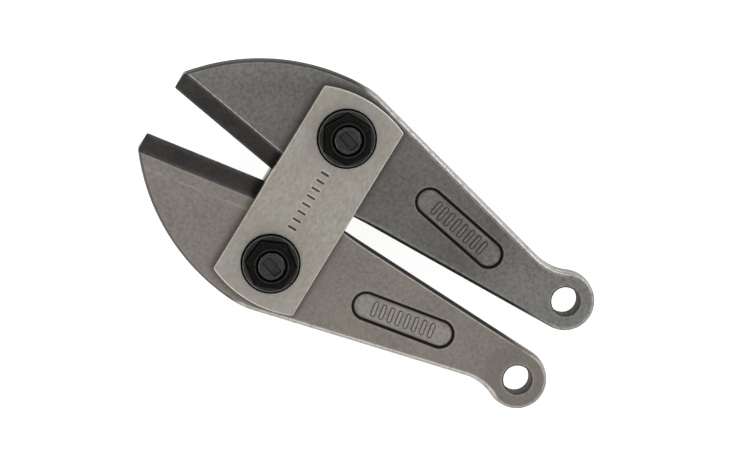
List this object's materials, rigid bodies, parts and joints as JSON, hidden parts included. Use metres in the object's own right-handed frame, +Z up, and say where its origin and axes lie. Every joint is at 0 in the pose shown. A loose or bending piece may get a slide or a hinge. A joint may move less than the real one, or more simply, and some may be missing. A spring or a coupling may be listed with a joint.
{
  "type": "bolt cutter head",
  "caption": "Bolt cutter head: forged jaws with bevelled blades turn between link plates on shouldered bolts with flange nuts; eyes take the handles.",
  "frame": {"origin": "middle of the head's length and width, at the undersides of the bolt heads, with the jaws open at rest", "axes": "+X along the head, from the blades to the handle eyes; +Y to the upper jaw; +Z up along the bolts, to the nuts"},
  "size_m": [0.1424, 0.0754, 0.0321],
  "materials": {
    "jaw_steel": "forged and tumbled chromium-molybdenum steel, mid grey, with dark ground bevels",
    "plate_steel": "stamped steel plate, tumbled to a light satin grey",
    "bolt_steel": "black oxide, lightly oiled",
    "nut_steel": "black oxide, lightly oiled"
  },
  "bodies": {
    "link_frame": {"front_link_plate": "plate_steel", "rear_link_plate": "plate_steel", "upper_pivot_bolt": "bolt_steel", "lower_pivot_bolt": "bolt_steel", "upper_flange_nut": "nut_steel", "lower_flange_nut": "nut_steel"},
    "upper_jaw": {"upper_jaw": "jaw_steel"},
    "lower_jaw": {"lower_jaw": "jaw_steel"}
  },
  "joints": [
    {"name": "upper_jaw_pivot", "type": "hinge", "parent": "link_frame", "child": "upper_jaw", "pos_m": [-0.02007, 0.02175, 0.01455], "axis": [0, 0, 1], "range_deg": [-3, 9]},
    {"name": "lower_jaw_pivot", "type": "hinge", "parent": "link_frame", "child": "lower_jaw", "pos_m": [-0.02007, -0.02175, 0.01455], "axis": [0, 0, 1], "range_deg": [-9, 3]}
  ],
  "couplings": [
    {"joint": "lower_jaw_pivot", "follows": "upper_jaw_pivot", "ratio": -1}
  ]
}
